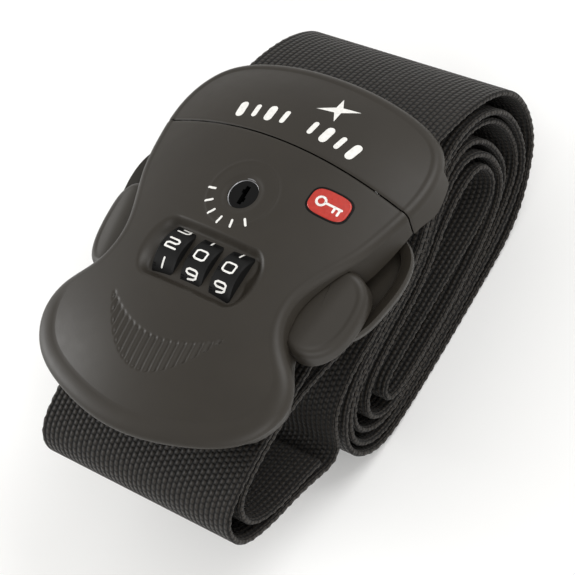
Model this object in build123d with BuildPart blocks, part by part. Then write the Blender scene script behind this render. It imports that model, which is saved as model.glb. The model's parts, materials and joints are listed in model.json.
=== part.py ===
"""Luggage strap with a combination lock, lying on its back with the webbing wound into a flat bundle.

Millimetres.  X runs across the lock, +Y toward the plug head, +Z out of the lock's face.
The origin is the middle of the footprint, on the surface the bundle lies on.
"""
import math
import os

from build123d import *

os.makedirs("parts", exist_ok=True)

# Webbing
WEB_WIDTH = 50.0
WEB_THICK = 1.4
FILLET_SHARE = 0.45          # share of a run that each bend may use
Y_SHIFT = 0.25               # centres the wound bundle on the origin

# Lock shells
WALL = 1.8
COVER_BOTTOM = 47.5
FLOOR_BOTTOM = 43.7
FLOOR_TOP = 44.8
LOWER_TOP = 47.4
CROWN_DROP = 8.6             # fall of the crown from the middle to X = CROWN_HALF
CROWN_HALF = 36.0
LIP_BOTTOM = 50.4
CHEEK_END = -40.0
REAR_WALL = -38.0
SEAM_MIDDLE = 10.7           # plan position of the seam at z = SEAM_BASE
SEAM_SIDE = 9.7
SEAM_BASE = 40.0
SEAM_LEAN = 0.33             # the seam leans toward the head going up
SEAM_GAP = 0.4

# Dials
DIAL_R = 7.0
DIAL_WIDTH = 5.4
DIAL_PITCH = 7.3
DIAL_Y = -14.0
DIAL_Z = 52.7
SLEEVE_R = 4.2
SHAFT_R = 2.0
SHAFT_HALF = 14.0
DISH_R = 7.7
DISH_HALF = 10.2
DISH_BOTTOM = 57.0

# Key cylinder
KEY_Y = 2.2
CORE_R = 3.2
KEY_SLEEVE_R = 4.6
PIN_OFFSET = 2.0
PIN_R = 0.8

# Plug
TONGUE_IN = 5.0
TONGUE_OUT = 12.0
TONGUE_BOTTOM = 46.3
TONGUE_TOP = 49.3
TONGUE_END = -6.0
BAR_Y = 22.3
BAR_Z = 46.2
BAR_R = 0.95

# Release pads
PAD_INNER = 21.8
PAD_OUTER = 31.3
PAD_BOTTOM = 47.6
PAD_TOP = 52.9
PAD_FRONT = -0.3
PAD_REAR = -20.2

# Adjuster bar
ADJUST_Y = 2.0
ADJUST_Z = 40.4
ADJUST_R = 1.2

# Screws: (x, y) on the +X side, mirrored to the other side
COVER_SCREWS = [(20.0, 8.0), (17.0, -32.0)]
PLUG_SCREWS = [(20.0, 16.8)]
SCREW_HEAD_R = 1.7
SCREW_HEAD_H = 1.1
SCREW_SHANK_R = 0.9
BOSS_R = 2.4

# Middle line of the webbing seen from +X as (y, z): out of the head, round the bundle, to the adjuster
LEAD_START = [(28.5, 43.4), (19.9, 44.0), (19.9, 48.4), (31.0, 47.6)]
ROUTE = [
    (47.5, 40.5), (56.0, 30.5), (55.2, 15.5), (46.5, 6.5),
    (36.0, 1.4), (18.0, 0.8), (-6.0, 0.8), (-21.0, 2.2), (-26.8, 12.5), (-21.0, 23.0), (-8.0, 26.7),
    (14.0, 28.0), (27.3, 38.3), (41.0, 37.6), (49.8, 28.5), (49.0, 13.8), (38.0, 8.0),
    (20.0, 4.6), (-2.0, 4.4), (-16.0, 5.2), (-22.0, 13.0), (-17.5, 20.8), (-6.0, 23.2),
    (13.0, 24.2), (27.0, 33.0), (36.5, 33.4), (42.3, 25.0), (40.9, 14.8), (30.0, 10.2),
    (12.0, 8.2), (-3.0, 8.0), (-11.8, 8.6), (-11.4, 14.4), (-3.0, 15.0), (16.0, 14.8),
    (31.0, 14.6), (39.0, 17.6), (39.4, 25.4), (35.0, 28.4), (25.0, 28.0), (11.0, 22.0),
    (-4.0, 20.9), (-13.8, 19.0), (-18.0, 12.5), (-13.6, 6.5), (-2.0, 6.2), (18.0, 6.4),
    (34.0, 9.2), (44.4, 15.0), (44.0, 27.5), (38.2, 35.6), (27.5, 35.3), (13.2, 26.2),
    (-6.0, 25.0), (-18.5, 22.2), (-24.6, 12.5), (-19.0, 3.8), (-6.0, 2.6), (19.0, 2.8),
    (38.0, 5.6), (50.0, 11.8), (52.0, 28.5), (43.5, 39.6), (29.0, 41.8), (14.0, 30.0),
    (-4.0, 28.6), (-15.0, 28.2), (-24.2, 24.5), (-27.8, 13.6), (-38.5, 20.0), (-50.0, 24.2),
    (-56.6, 29.6), (-55.6, 38.6), (-45.0, 41.6), (-34.0, 42.1), (-24.0, 42.4), (-8.0, 42.5),
]
TAIL = [
    (4.8, 42.4), (4.6, 36.0), (4.6, 31.4), (-3.5, 31.0), (-14.0, 35.4), (-29.0, 40.2), (-44.0, 39.4),
    (-51.2, 36.8), (-51.8, 29.8), (-46.5, 24.8), (-38.0, 21.9), (-32.0, 19.6),
]
LEAD_CORNERS = 4             # corners of ROUTE that belong to the lead
TURN_STARTS = [4, 19, 34, 50, 65]    # corners of ROUTE where each turn starts, then the run back to the adjuster
JOIN_GAP = 0.15              # gap left between two webbing lengths that continue each other


def middle(a, b, shift=0.0):
    """Halfway point from a to b, moved by shift along the run."""
    run = math.dist(a, b)
    share = 0.5 + shift / run
    return (a[0] + (b[0] - a[0]) * share, a[1] + (b[1] - a[1]) * share)


def bend_radii(points):
    """Radius of each bend: as large as its two runs allow."""
    radii = []
    for before, here, after in zip(points, points[1:], points[2:]):
        first = math.dist(before, here)
        second = math.dist(here, after)
        heading = math.atan2(here[1] - before[1], here[0] - before[0])
        turned = math.atan2(after[1] - here[1], after[0] - here[0]) - heading
        turned = (turned + math.pi) % (2 * math.pi) - math.pi
        radii.append((FILLET_SHARE * min(first, second) / math.tan(abs(turned) / 2), turned))
    return radii


def band_side(points, bends, away):
    """Corners and radii of the line at a distance to the left of a bent run."""
    headings = [math.atan2(b[1] - a[1], b[0] - a[0]) for a, b in zip(points, points[1:])]
    corners = [(points[0][0] - away * math.sin(headings[0]), points[0][1] + away * math.cos(headings[0]))]
    for here, heading, (_, turned) in zip(points[1:], headings, bends):
        reach = away / math.cos(turned / 2)
        facing = heading + turned / 2
        corners.append((here[0] - reach * math.sin(facing), here[1] + reach * math.cos(facing)))
    last = headings[-1]
    corners.append((points[-1][0] - away * math.sin(last), points[-1][1] + away * math.cos(last)))
    radii = [radius - away * math.copysign(1, turned) for radius, turned in bends]
    return corners, radii


def inset_points(points, inset):
    """The points of a clockwise outline moved inward; the two ends stay on their straight runs."""
    moved = [(points[0][0], points[0][1] - inset)]
    for before, here, after in zip(points, points[1:], points[2:]):
        run = math.dist(before, after)
        moved.append((here[0] + inset * (after[1] - before[1]) / run, here[1] - inset * (after[0] - before[0]) / run))
    moved.append((points[-1][0], points[-1][1] + inset))
    return moved


def symmetric_plan(points, inset):
    """Face inside a half outline and its mirror image, closed by straight runs across the middle."""
    corners = inset_points(points, inset)
    with BuildSketch() as plan:
        with BuildLine():
            side = Spline(*corners, tangents=[(1, 0), (-1, 0)])
            mirror(side, about=Plane.YZ)
            Line(side @ 0, (-corners[0][0], corners[0][1]))
            Line(side @ 1, (-corners[-1][0], corners[-1][1]))
        make_face()
    return plan.sketch


def outline(inset=0.0):
    """Plan of the closed lock, head at the top."""
    half = [
        (3, 36), (16, 33.3), (26.5, 27), (30.6, 18), (29.8, 9), (27.2, 1), (23.2, -7), (22, -14),
        (24, -21), (29.2, -27), (30.9, -32), (27.8, -42), (16, -50), (3, -53.3),
    ]
    return symmetric_plan(half, inset)


def arch_section(y, top):
    """Arched slice of the crown at one place along Y."""
    base = 30.0
    side_top = top - CROWN_DROP
    with BuildSketch(Plane.XZ.offset(-y)) as slice_face:
        with BuildLine():
            arch = ThreePointArc((-CROWN_HALF, side_top), (0, top), (CROWN_HALF, side_top))
            Polyline(arch @ 0, (-CROWN_HALF, base), (CROWN_HALF, base), arch @ 1)
        make_face()
    return slice_face.sketch


def crowned(drop, plan):
    """Solid under the crown and inside a plan outline."""
    ridge = [
        (38, 48.8), (30, 53.2), (22, 56.2), (10, 58.4), (-4, 59.5), (-20, 59.8),
        (-32, 59.1), (-42, 57.0), (-50, 53.8), (-55, 51.2),
    ]
    with BuildPart() as form:
        loft(sections=[arch_section(y, top - drop) for y, top in ridge])
        with BuildSketch(Plane.XY.offset(35)):
            add(plan)
        extrude(amount=40, mode=Mode.INTERSECT)
    return form.part


def seam_zone(shift):
    """Everything on the head side of the leaning seam."""
    reach = 50.0
    upright = math.cos(math.atan(SEAM_LEAN))
    middle_y = (SEAM_MIDDLE + shift) * upright
    side_y = (SEAM_SIDE + shift) * upright
    leaning = Plane(origin=(0, 0, SEAM_BASE), x_dir=(1, 0, 0), z_dir=(0, SEAM_LEAN, 1))
    with BuildPart() as zone:
        with BuildSketch(leaning):
            with BuildLine():
                seam = ThreePointArc((-reach, side_y - 1.8), (0, middle_y), (reach, side_y - 1.8))
                Polyline(seam @ 0, (-reach, reach), (reach, reach), seam @ 1)
            make_face()
        extrude(amount=40)
    return zone.part


outer_form = crowned(0.0, outline())
inner_form = crowned(WALL, outline(WALL))
head_zone = seam_zone(0.0)
head_inner_zone = seam_zone(1.4)
body_limit = seam_zone(-SEAM_GAP)
body_inner_limit = seam_zone(-SEAM_GAP - WALL)


def save(piece, name):
    """Label one piece and write it out."""
    piece.label = name
    export_step(piece, f"parts/{name}.step")


def both_sides(spots):
    """The given (x, y) spots and their mirror images."""
    return [(side * x, y) for x, y in spots for side in (1, -1)]


# Upper cover
window_front = 0.4
window_rear = -20.9
window_in = 16.0
window_top = 53.3
slot_side_gap = 0.12
slot_gap = 0.25
tongue_gap = 0.4
boss_bottom = 46.3
screw_depth = 52.0
rib_x = 12.2
rib_wall = 1.8
badge_x = 17.2
badge_y = 7.5
badge_tilt = 12.0
badge_w = 10.4
badge_h = 6.4
badge_corner = 2.0
badge_recess = 0.9
badge_gap = 0.1
badge_top = 56.75
badge_plane = Plane(origin=(badge_x, badge_y, badge_top)).rotated((0, badge_tilt, 0))
grip_count = 14
grip_pitch = 1.5
grip_cut = 0.5
grip_top_y = -30.2
grip_low_y = -38.6
grip_rise = 3.0

with BuildPart() as dish_wall:
    with BuildSketch(Plane.YZ.offset(-DISH_HALF)):
        with Locations((DIAL_Y, DISH_BOTTOM + DISH_R)):
            Circle(DISH_R + WALL)
    extrude(amount=2 * DISH_HALF)
    with Locations((-DISH_HALF, DIAL_Y, DISH_BOTTOM + DISH_R), (DISH_HALF, DIAL_Y, DISH_BOTTOM + DISH_R)):
        Sphere(DISH_R + WALL)
    add(outer_form, mode=Mode.INTERSECT)

with BuildPart() as posts:
    with BuildSketch(Plane.XY.offset(boss_bottom)):
        with Locations(*both_sides(COVER_SCREWS)):
            Circle(BOSS_R)
    extrude(amount=15)
    with Locations((rib_x, DIAL_Y, 54.5), (-rib_x, DIAL_Y, 54.5)):
        Box(rib_wall, 6.0, 9.0)
    with Locations((0, REAR_WALL - 0.8, 55.0)):
        Box(56.0, 1.6, 15.0)
    with Locations((0, KEY_Y, 56.0)):
        Cylinder(KEY_SLEEVE_R + 1.4, 8.0)
    add(outer_form, mode=Mode.INTERSECT)

with BuildPart() as cavity:
    add(inner_form)
    add(body_inner_limit, mode=Mode.SUBTRACT)

with BuildPart() as upper_cover:
    add(outer_form)
    add(body_limit, mode=Mode.SUBTRACT)
    add(cavity.part, mode=Mode.SUBTRACT)
    add(dish_wall.part)
    add(posts.part)
    with Locations((0, 0, COVER_BOTTOM - 20)):
        Box(100, 120, 40, mode=Mode.SUBTRACT)
    with Locations((0, CHEEK_END - 20, LIP_BOTTOM - 20)):
        Box(100, 40, 40, mode=Mode.SUBTRACT)
    window_mid = (window_front + window_rear) / 2
    for side in (1, -1):
        with Locations((side * (window_in + 20), window_mid, window_top - 10)):
            Box(40, window_front - window_rear, 20, mode=Mode.SUBTRACT)
    with Locations((0, 15, (TONGUE_BOTTOM + TONGUE_TOP) / 2)):
        Box(2 * (TONGUE_OUT + tongue_gap), 12, TONGUE_TOP - TONGUE_BOTTOM + 2 * tongue_gap, mode=Mode.SUBTRACT)
    with BuildSketch(Plane.YZ.offset(-DISH_HALF)):
        with Locations((DIAL_Y, DISH_BOTTOM + DISH_R)):
            Circle(DISH_R)
    extrude(amount=2 * DISH_HALF, mode=Mode.SUBTRACT)
    with Locations((-DISH_HALF, DIAL_Y, DISH_BOTTOM + DISH_R), (DISH_HALF, DIAL_Y, DISH_BOTTOM + DISH_R)):
        Sphere(DISH_R, mode=Mode.SUBTRACT)
    for place in (-1, 0, 1):
        slot_w = DIAL_WIDTH + 2 * slot_side_gap
        with BuildSketch(Plane.YZ.offset(place * DIAL_PITCH - slot_w / 2)):
            with Locations((DIAL_Y, DIAL_Z)):
                Circle(DIAL_R + slot_gap)
        extrude(amount=slot_w, mode=Mode.SUBTRACT)
    with BuildSketch(Plane.YZ.offset(-SHAFT_HALF)):
        with Locations((DIAL_Y, DIAL_Z)):
            Circle(SHAFT_R + 0.03)
    extrude(amount=2 * SHAFT_HALF, mode=Mode.SUBTRACT)
    with Locations((0, KEY_Y, 55)):
        Cylinder(KEY_SLEEVE_R + 0.03, 20, mode=Mode.SUBTRACT)
    with BuildSketch(Plane.XY.offset(boss_bottom)):
        with Locations(*both_sides(COVER_SCREWS)):
            Circle(SCREW_SHANK_R + 0.03)
    extrude(amount=screw_depth - boss_bottom, mode=Mode.SUBTRACT)
    with BuildSketch(badge_plane.offset(-badge_recess)):
        RectangleRounded(badge_w + 2 * badge_gap, badge_h + 2 * badge_gap, badge_corner + badge_gap)
    extrude(amount=5, mode=Mode.SUBTRACT)
    for place in range(grip_count):
        across = (place - (grip_count - 1) / 2) * grip_pitch
        share = (across / (grip_pitch * grip_count / 2)) ** 2
        start = grip_top_y + grip_rise * share
        end = grip_low_y + (start - grip_low_y) * share * 0.9
        height = 58.9 - 0.0052 * across ** 2
        with Locations((across, (start + end) / 2, height + 2.0)):
            Box(0.6, start - end, 4.0 + grip_cut, mode=Mode.SUBTRACT)
save(upper_cover.part, "upper_cover")

# Lower cover: floor, side fenders, lugs for the adjuster bar
fender_wall = 2.2
rear_half = 21.5
lug_x = 27.1
lug_wall = 2.6
lug_bottom = 38.8
counterbore_r = SCREW_HEAD_R + 0.2
counterbore_top = SCREW_HEAD_H + FLOOR_BOTTOM + 0.15


def fender_plan(inset):
    """Plan of the body between its two bulging side fenders."""
    half = [(27.0, 13.0), (31.6, 11.2), (34.1, 6.5), (34.2, 0.0), (33.0, -8.0), (31.0, -13.4), (26.0, -16.6)]
    return symmetric_plan(half, inset)


with BuildPart() as lower_solid:
    with BuildSketch(Plane.XY.offset(FLOOR_BOTTOM)):
        add(fender_plan(0.0))
        with Locations((0, (REAR_WALL - 1.6 + DIAL_Y) / 2)):
            RectangleRounded(2 * rear_half, DIAL_Y - REAR_WALL + 1.6, 2.0)
    extrude(amount=LOWER_TOP - FLOOR_BOTTOM)
    add(body_limit, mode=Mode.SUBTRACT)

with BuildPart() as lower_pocket:
    with BuildSketch(Plane.XY.offset(FLOOR_TOP)):
        add(fender_plan(fender_wall))
        with Locations((0, (REAR_WALL + DIAL_Y) / 2)):
            Rectangle(2 * (rear_half - WALL), DIAL_Y - REAR_WALL)
    extrude(amount=10)
    add(body_inner_limit, mode=Mode.SUBTRACT)

with BuildPart() as lower_cover:
    add(lower_solid.part)
    add(lower_pocket.part, mode=Mode.SUBTRACT)
    with BuildSketch(Plane.XY.offset(FLOOR_BOTTOM)):
        with Locations(*both_sides(COVER_SCREWS)):
            Circle(BOSS_R + 0.6)
    extrude(amount=boss_bottom - 0.1 - FLOOR_BOTTOM)
    with Locations((lug_x, ADJUST_Y, (lug_bottom + FLOOR_BOTTOM) / 2),
                   (-lug_x, ADJUST_Y, (lug_bottom + FLOOR_BOTTOM) / 2)):
        Box(lug_wall, 5.0, FLOOR_BOTTOM - lug_bottom + 0.02)
    with BuildSketch(Plane.YZ.offset(-40)):
        with Locations((ADJUST_Y, ADJUST_Z)):
            Circle(ADJUST_R + 0.02)
    extrude(amount=80, mode=Mode.SUBTRACT)
    with Locations((0, 10, (TONGUE_BOTTOM + TONGUE_TOP) / 2)):
        Box(2 * (TONGUE_OUT + tongue_gap), 8, TONGUE_TOP - TONGUE_BOTTOM + 2 * tongue_gap, mode=Mode.SUBTRACT)
    with BuildSketch(Plane.XY.offset(FLOOR_BOTTOM)):
        with Locations(*both_sides(COVER_SCREWS)):
            Circle(counterbore_r)
    extrude(amount=counterbore_top - FLOOR_BOTTOM, mode=Mode.SUBTRACT)
    with BuildSketch(Plane.XY.offset(FLOOR_BOTTOM)):
        with Locations(*both_sides(COVER_SCREWS)):
            Circle(SCREW_SHANK_R + 0.1)
    extrude(amount=5, mode=Mode.SUBTRACT)
save(lower_cover.part, "lower_cover")


def screw_set(spots, head_z, length):
    """Pan-head screws standing point up, with a cross recess in each head."""
    with BuildPart() as screws:
        with BuildSketch(Plane.XY.offset(head_z)):
            with Locations(*spots):
                Circle(SCREW_HEAD_R)
        extrude(amount=SCREW_HEAD_H)
        with BuildSketch(Plane.XY.offset(head_z + SCREW_HEAD_H)):
            with Locations(*spots):
                Circle(SCREW_SHANK_R)
        extrude(amount=length)
        with BuildSketch(Plane.XY.offset(head_z)):
            with Locations(*spots):
                Rectangle(2.0, 0.4)
                Rectangle(0.4, 2.0)
        extrude(amount=0.6, mode=Mode.SUBTRACT)
    return screws.part


cover_screws = screw_set(both_sides(COVER_SCREWS), FLOOR_BOTTOM + 0.05, 6.6)
save(cover_screws, "cover_screws")

with BuildPart() as adjuster_bar:
    with BuildSketch(Plane.YZ.offset(-lug_x - lug_wall / 2)):
        with Locations((ADJUST_Y, ADJUST_Z)):
            Circle(ADJUST_R)
    extrude(amount=2 * lug_x + lug_wall)
    chamfer(adjuster_bar.edges().filter_by(GeomType.CIRCLE), 0.2)
save(adjuster_bar.part, "adjuster_bar")

# Badge
with BuildPart() as badge:
    with BuildSketch(badge_plane.offset(-badge_recess)):
        RectangleRounded(badge_w, badge_h, badge_corner)
    extrude(amount=badge_recess + 0.35)
    fillet(badge.faces().sort_by(Axis.Z)[-1].edges(), 0.25)
save(badge.part, "badge")

# Dials on their shaft
with BuildPart() as dial_shaft:
    with BuildSketch(Plane.YZ.offset(-SHAFT_HALF)):
        with Locations((DIAL_Y, DIAL_Z)):
            Circle(SHAFT_R)
    extrude(amount=2 * SHAFT_HALF)
    chamfer(dial_shaft.edges().filter_by(GeomType.CIRCLE), 0.3)
save(dial_shaft.part, "dial_shaft")

digit_count = 10
dial_edge = 0.35
sleeve_gap = 0.04
sleeve_half = 2.55
detent_depth = 0.35
DIALS = {"left": -1, "middle": 0, "right": 1}
for name, place in DIALS.items():
    centre = place * DIAL_PITCH
    with BuildPart() as dial:
        with BuildSketch(Plane.YZ.offset(centre - DIAL_WIDTH / 2)):
            with Locations((DIAL_Y, DIAL_Z)):
                Circle(DIAL_R)
                Circle(SLEEVE_R + sleeve_gap, mode=Mode.SUBTRACT)
        extrude(amount=DIAL_WIDTH)
        chamfer(dial.edges().filter_by(GeomType.CIRCLE).group_by(SortBy.RADIUS)[-1], dial_edge)
        with BuildSketch(Plane.YZ.offset(centre - DIAL_WIDTH / 2)):
            with Locations((DIAL_Y, DIAL_Z)):
                with PolarLocations(DIAL_R, digit_count, start_angle=18):
                    Circle(detent_depth)
        extrude(amount=1.1, mode=Mode.SUBTRACT)
    save(dial.part, f"dial_{name}")
    with BuildPart() as sleeve:
        with BuildSketch(Plane.YZ.offset(centre - sleeve_half)):
            with Locations((DIAL_Y, DIAL_Z)):
                Circle(SLEEVE_R)
                Circle(SHAFT_R + 0.05, mode=Mode.SUBTRACT)
        extrude(amount=2 * sleeve_half)
        with BuildSketch(Plane.YZ.offset(centre - sleeve_half)):
            with Locations((DIAL_Y, DIAL_Z + SLEEVE_R)):
                Rectangle(1.4, 2.0)
        extrude(amount=2 * sleeve_half, mode=Mode.SUBTRACT)
    save(sleeve.part, f"sleeve_{name}")

with BuildPart() as detent_spring:
    comb_y = DIAL_Y - DIAL_R - 4.6
    with Locations((0, comb_y, 50.4)):
        Box(20.0, 0.5, 4.0)
    for place in DIALS.values():
        with BuildSketch(Plane.YZ.offset(place * DIAL_PITCH - 2.4)):
            with BuildLine():
                FilletPolyline((comb_y, 51.0), (comb_y + 1.8, 53.6), (comb_y + 4.1, 52.7), radius=0.5)
            trace(line_width=0.3)
        extrude(amount=1.4)
save(detent_spring.part, "detent_spring")

# Key cylinder
with BuildPart() as key_sleeve:
    with BuildSketch(Plane.XY.offset(47.0)):
        with Locations((0, KEY_Y)):
            Circle(KEY_SLEEVE_R)
            Circle(CORE_R + 0.05, mode=Mode.SUBTRACT)
    extrude(amount=11.5)
    chamfer(key_sleeve.edges().filter_by(GeomType.CIRCLE).group_by(Axis.Z)[-1].group_by(SortBy.RADIUS)[0], 0.25)
save(key_sleeve.part, "key_sleeve")

with BuildPart() as key_core:
    with BuildSketch(Plane.XY.offset(46.25)):
        with Locations((0, KEY_Y)):
            Circle(CORE_R)
    extrude(amount=12.0)
    with BuildSketch(Plane.XY.offset(46.35)):
        with Locations((0, KEY_Y)):
            Circle(CORE_R + 1)
            Circle(2.6, mode=Mode.SUBTRACT)
    extrude(amount=0.55, mode=Mode.SUBTRACT)
    with BuildSketch(Plane.XY.offset(50.5)):
        with Locations((0, KEY_Y)):
            Rectangle(1.0, 4.2)
        with Locations((0.45, KEY_Y - 0.9)):
            Rectangle(0.8, 0.9)
        with Locations((-0.45, KEY_Y + 0.8)):
            Rectangle(0.8, 0.8)
    extrude(amount=10, mode=Mode.SUBTRACT)
save(key_core.part, "key_core")

with BuildPart() as core_clip:
    with BuildSketch(Plane.XY.offset(46.42)):
        with Locations((0, KEY_Y)):
            Circle(4.1)
            Circle(2.65, mode=Mode.SUBTRACT)
        with Locations((0, KEY_Y - 4)):
            Rectangle(2.4, 5.0, mode=Mode.SUBTRACT)
    extrude(amount=0.4)
save(core_clip.part, "core_clip")

with BuildPart() as key_cam:
    with BuildSketch(Plane.XY.offset(45.72)):
        with Locations((0, KEY_Y)):
            Circle(3.0)
    extrude(amount=0.53)
    with BuildSketch(Plane.XY.offset(45.0)):
        with Locations((PIN_OFFSET, KEY_Y)):
            Circle(PIN_R)
    extrude(amount=0.8)
save(key_cam.part, "key_cam")

# Lock plate and its return spring
PLATE_BOTTOM = 44.95
PLATE_THICK = 0.6
plate_rear = -29.0
plate_front = 7.0
plate_half = 12.6
with BuildPart() as lock_plate:
    with BuildSketch(Plane.XY.offset(PLATE_BOTTOM)):
        with Locations((0, (plate_rear + plate_front) / 2)):
            RectangleRounded(2 * plate_half, plate_front - plate_rear, 1.5)
        with Locations((0, DIAL_Y)):
            RectangleRounded(22.0, 12.0, 1.0, mode=Mode.SUBTRACT)
        with Locations((0.4, KEY_Y)):
            RectangleRounded(6.4, 2.7, 1.0, mode=Mode.SUBTRACT)
    extrude(amount=PLATE_THICK)
save(lock_plate.part, "lock_plate")

with BuildPart() as plate_spring:
    with BuildSketch(Plane.XY.offset(PLATE_BOTTOM)):
        with BuildLine():
            FilletPolyline(
                (-9.0, REAR_WALL + 0.5), (0.0, REAR_WALL + 0.5), (6.0, -34.5), (-6.0, -32.5), (0.0, plate_rear - 0.3),
                (7.0, plate_rear - 0.3), radius=0.8,
            )
        trace(line_width=0.4)
    extrude(amount=1.2)
save(plate_spring.part, "plate_spring")

# Release pads with their catches, and the leaf springs behind them
catch_in = 15.0
arm_in = 17.6
for name, side in (("right", 1), ("left", -1)):
    with BuildPart() as pad:
        with BuildSketch(Plane.XY.offset(PAD_BOTTOM)):
            with BuildLine():
                edge = ThreePointArc((26.3, PAD_FRONT), (PAD_OUTER, -10.2), (26.3, PAD_REAR))
                Polyline(edge @ 0, (PAD_INNER, PAD_FRONT), (PAD_INNER, PAD_REAR), edge @ 1)
            make_face()
        extrude(amount=PAD_TOP - PAD_BOTTOM)
        fillet(pad.edges().group_by(Axis.Z)[-1].sort_by(Axis.X)[-1:], 1.6)
        fillet(pad.edges().group_by(Axis.Z)[0].sort_by(Axis.X)[-1:], 0.8)
        with Locations(((PAD_INNER + catch_in) / 2 + 0.25, -2.0, 48.0)):
            Box(PAD_INNER - catch_in + 0.5, 2.6, 2.4)
        with Locations(((PAD_INNER + arm_in) / 2 + 0.25, -11.5, 48.0)):
            Box(PAD_INNER - arm_in + 0.5, 3.6, 3.0)
        if side < 0:
            mirror(about=Plane.YZ, mode=Mode.REPLACE)
    save(pad.part, f"release_pad_{name}")
    with BuildPart() as leaf:
        with BuildSketch(Plane.XY.offset(46.2)):
            with BuildLine():
                FilletPolyline((side * 17.4, -8.8), (side * 21.2, -6.7), (side * 17.4, -4.6), radius=0.8)
            trace(line_width=0.35)
        extrude(amount=2.0)
    save(leaf.part, f"pad_spring_{name}")

# Plug head
mouth_half = 27.5
rail_in = 25.6
with BuildPart() as head_cavity:
    add(crowned(WALL, outline(WALL)))
    add(head_inner_zone, mode=Mode.INTERSECT)

with BuildPart() as head_solid:
    add(outer_form)
    add(head_zone, mode=Mode.INTERSECT)

with BuildPart() as plug_posts:
    with BuildSketch(Plane.XY.offset(45.8)):
        with Locations(*both_sides(PLUG_SCREWS)):
            Circle(1.9)
    extrude(amount=15)
    add(head_solid.part, mode=Mode.INTERSECT)

with BuildPart() as plug_cover:
    add(head_solid.part)
    add(head_cavity.part, mode=Mode.SUBTRACT)
    add(plug_posts.part)
    with Locations((0, 20, 34)):
        Box(100, 60, 20, mode=Mode.SUBTRACT)
    with BuildSketch(Plane.YZ.offset(-mouth_half)):
        with BuildLine():
            Polyline((19.0, 40), (19.0, 49.4), (28.0, 49.2), (31.5, 48.6), (42, 44.2), (42, 40), (19.0, 40))
        make_face()
    extrude(amount=2 * mouth_half, mode=Mode.SUBTRACT)
    with Locations((0, 13, (TONGUE_BOTTOM + TONGUE_TOP) / 2)):
        Box(2 * (TONGUE_OUT + tongue_gap), 10, TONGUE_TOP - TONGUE_BOTTOM + 2 * tongue_gap, mode=Mode.SUBTRACT)
    with BuildSketch(Plane.XY.offset(45.7)):
        with Locations(*both_sides(PLUG_SCREWS)):
            Circle(SCREW_SHANK_R + 0.03)
    extrude(amount=6.0, mode=Mode.SUBTRACT)
save(plug_cover.part, "plug_cover")

with BuildPart() as plug_limit:
    add(crowned(WALL, outline(WALL + 0.1)))
    add(seam_zone(1.6), mode=Mode.INTERSECT)

with BuildPart() as plug_base:
    with Locations((0, 15.2, 44.9)):
        Box(60, 7.4, 1.5)
    with Locations((rail_in + 2, 20.0, 46.3), (-rail_in - 2, 20.0, 46.3)):
        Box(4.0, 7.6, 4.3)
    add(plug_limit.part, mode=Mode.INTERSECT)
    with Locations((0, 16.5, 46.7)):
        Box(2 * TONGUE_OUT, 4.6, 5.1)
    for side in (1, -1):
        prong_mid = side * (TONGUE_IN + TONGUE_OUT) / 2
        with Locations((prong_mid, (18.0 + TONGUE_END) / 2, (TONGUE_BOTTOM + TONGUE_TOP) / 2)):
            Box(TONGUE_OUT - TONGUE_IN, 18.0 - TONGUE_END, TONGUE_TOP - TONGUE_BOTTOM)
        with Locations((side * TONGUE_OUT, -2.0, 48)):
            Box(2.0, 3.2, 4, mode=Mode.SUBTRACT)
    with BuildSketch(Plane.YZ.offset(-40)):
        with Locations((BAR_Y, BAR_Z)):
            Circle(BAR_R + 0.02)
    extrude(amount=80, mode=Mode.SUBTRACT)
    with BuildSketch(Plane.XY.offset(44)):
        with Locations(*both_sides(PLUG_SCREWS)):
            Circle(SCREW_SHANK_R + 0.1)
    extrude(amount=5, mode=Mode.SUBTRACT)
save(plug_base.part, "plug_base")

plug_screws = screw_set(both_sides(PLUG_SCREWS), 44.15 - SCREW_HEAD_H, 6.0)
save(plug_screws, "plug_screws")

with BuildPart() as plug_bar:
    with BuildSketch(Plane.YZ.offset(-rail_in - 1.5)):
        with Locations((BAR_Y, BAR_Z)):
            Circle(BAR_R)
    extrude(amount=2 * rail_in + 3.0)
save(plug_bar.part, "plug_bar")

# Webbing
def webbing(points, bends, name):
    """One length of webbing from the corners and bends of its middle line."""
    left, left_radii = band_side(points, bends, WEB_THICK / 2)
    right, right_radii = band_side(points, bends, -WEB_THICK / 2)
    with BuildPart() as strap:
        with BuildSketch(Plane.YZ.offset(-WEB_WIDTH / 2)):
            with BuildLine():
                one = FilletPolyline(*left, radius=left_radii)
                other = FilletPolyline(*right, radius=right_radii)
                Line(one @ 0, other @ 0)
                Line(one @ 1, other @ 1)
            make_face()
        extrude(amount=WEB_WIDTH)
    length = sum(math.dist(a, b) for a, b in zip(points, points[1:]))
    print(name, round(strap.part.volume / WEB_WIDTH / WEB_THICK, 1), "mm of", round(length, 1))
    save(strap.part, name)


whole = [(y + Y_SHIFT, z) for y, z in LEAD_START + ROUTE + TAIL]
bends = bend_radii(whole)
def length_between(first, last, name):
    """Webbing between two joints, each at the middle of the run before a corner."""
    points = whole[first:last]
    inner = bends[max(first - 1, 0):last - 1]
    if first:
        points = [middle(whole[first - 1], whole[first], JOIN_GAP)] + points
    if last < len(whole):
        points = points + [middle(whole[last - 1], whole[last], -JOIN_GAP)]
    else:
        inner = inner[:len(points) - 2]
    webbing(points, inner, name)


lead_end = len(LEAD_START) + LEAD_CORNERS
turns = [len(LEAD_START) + corner for corner in TURN_STARTS]
tail_start = len(LEAD_START) + len(ROUTE)
length_between(0, lead_end, "webbing_lead")
for number, (first, last) in enumerate(zip(turns, turns[1:]), start=1):
    length_between(first, last, f"webbing_turn_{number}")
length_between(turns[-1], tail_start, "webbing_return")
length_between(tail_start, len(whole), "webbing_tail")
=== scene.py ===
"""Looks of the luggage strap: moulded lock shells, number dials, key cylinder, badge and woven webbing."""
import json
import math

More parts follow.
